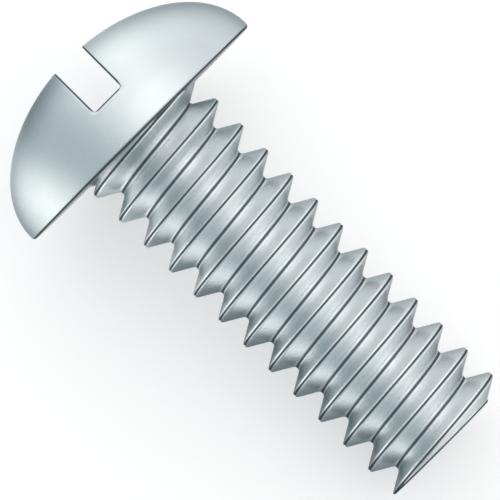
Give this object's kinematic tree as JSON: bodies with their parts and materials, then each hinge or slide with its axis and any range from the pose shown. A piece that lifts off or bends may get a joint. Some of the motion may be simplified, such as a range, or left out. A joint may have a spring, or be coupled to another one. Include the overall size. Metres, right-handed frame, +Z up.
{
  "type": "round head machine screw",
  "caption": "Slotted round head machine screw, coarse right-hand thread up to the head, cut off square, lying on its side.",
  "frame": {"origin": "on the floor that the screw lies on, below the middle of its length and its width", "axes": "+Z up; +X along the floor from the head towards the cut end; +Y across. The screw's own axis leans 10.19 degrees down from +X, because it rests on the rim of its head and on its last whole crest. The slot's flat floor runs along X and Z, so the slot is seen end-on from above."},
  "size_m": [0.0164, 0.0092, 0.009],
  "materials": {
    "plated_steel": "bright zinc plate, smooth on the head and faintly pebbled on the rolled thread"
  },
  "bodies": {
    "root": {"machine_screw": "plated_steel"}
  },
  "joints": []
}
